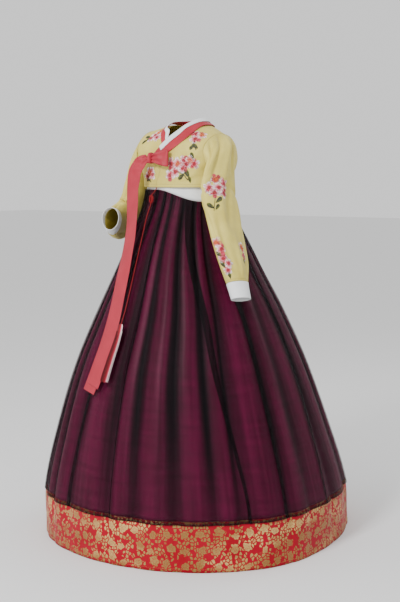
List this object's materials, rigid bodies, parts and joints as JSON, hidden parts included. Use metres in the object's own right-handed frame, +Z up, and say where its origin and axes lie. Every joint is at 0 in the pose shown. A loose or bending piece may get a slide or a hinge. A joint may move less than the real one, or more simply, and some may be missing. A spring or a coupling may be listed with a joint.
{
  "type": "hanbok",
  "caption": "Korean hanbok as it is worn: a short cross-lapped jacket with a tied ribbon and a hanging ornament, over a full high-waisted skirt of organza with a brocade band at its hem.",
  "frame": {"origin": "the middle of the shoulders where the wearer holds the garment up, on its centre plane", "axes": "+Z up, the front towards -Y, +X towards the wearer's left"},
  "size_m": [1.042, 1.1888, 1.4599],
  "materials": {
    "jacket_silk": "matt",
    "collar_silk": "satin",
    "ribbon_silk": "satin",
    "white_cotton": "matt",
    "skirt_satin": "satin",
    "skirt_organza": "sheer",
    "hem_brocade": "metallic thread",
    "ornament_cord": "satin",
    "ornament_tassel": "satin"
  },
  "bodies": {
    "root": {"jacket_body_left": "jacket_silk", "jacket_body_right": "jacket_silk", "jacket_sleeve_left": "jacket_silk", "jacket_sleeve_right": "jacket_silk", "cuff_left": "white_cotton", "cuff_right": "white_cotton", "collar_band": "collar_silk", "collar_strip": "white_cotton", "ribbon_loop": "ribbon_silk", "ribbon_knot": "ribbon_silk", "ribbon_tail_long": "ribbon_silk", "ribbon_tail_short": "ribbon_silk", "skirt_waistband": "white_cotton", "skirt_panel_front": "skirt_satin", "skirt_panel_left": "skirt_satin", "skirt_panel_back": "skirt_satin", "skirt_panel_right": "skirt_satin", "skirt_overlay": "skirt_organza", "hem_band_front": "hem_brocade", "hem_band_left": "hem_brocade", "hem_band_back": "hem_brocade", "hem_band_right": "hem_brocade", "ornament_cord_top": "ornament_cord", "ornament_knot": "ornament_cord", "ornament_cord": "ornament_cord", "ornament_tassel": "ornament_tassel"}
  },
  "joints": []
}
